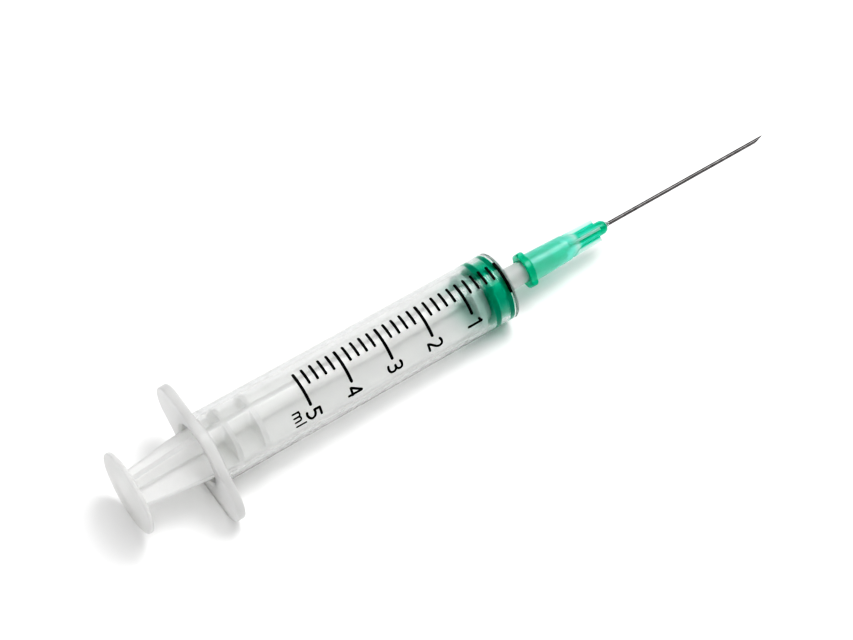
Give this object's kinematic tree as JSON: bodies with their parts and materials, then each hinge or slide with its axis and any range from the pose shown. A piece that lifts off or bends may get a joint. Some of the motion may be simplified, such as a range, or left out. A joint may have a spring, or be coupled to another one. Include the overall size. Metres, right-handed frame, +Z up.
{
  "type": "syringe with needle",
  "caption": "Disposable hypodermic syringe: clear graduated barrel with finger flange, sliding ribbed plunger with rubber stopper, and a push-on bevelled needle in a green hub.",
  "frame": {"origin": "on the barrel's axis, at the zero graduation near the barrel's front end", "axes": "+X along the barrel's axis towards the needle's point, +Z up as the syringe lies on one straight side of its finger flange and the front edge of its barrel"},
  "size_m": [0.1448, 0.0274, 0.0164],
  "materials": {
    "barrel_plastic": "clear polypropylene, slightly milky",
    "rod_plastic": "natural translucent polypropylene",
    "stopper_rubber": "smooth silicone-oiled rubber",
    "hub_plastic": "translucent green polypropylene",
    "needle_steel": "drawn stainless tube",
    "needle_glue": "clear cured adhesive",
    "scale_ink": "black pad-printed ink"
  },
  "bodies": {
    "barrel": {"barrel": "barrel_plastic"},
    "plunger": {"plunger_rod": "rod_plastic", "stopper": "stopper_rubber"},
    "needle": {"needle_hub": "hub_plastic", "cannula": "needle_steel", "needle_adhesive": "needle_glue"}
  },
  "joints": [
    {"name": "plunger_slide", "type": "slide", "parent": "barrel", "child": "plunger", "axis": [-1, 0, 0], "range_m": [0, 0.055]},
    {"name": "needle_pull", "type": "slide", "parent": "barrel", "child": "needle", "axis": [1, 0, 0], "range_m": [0, 0.0065]}
  ]
}
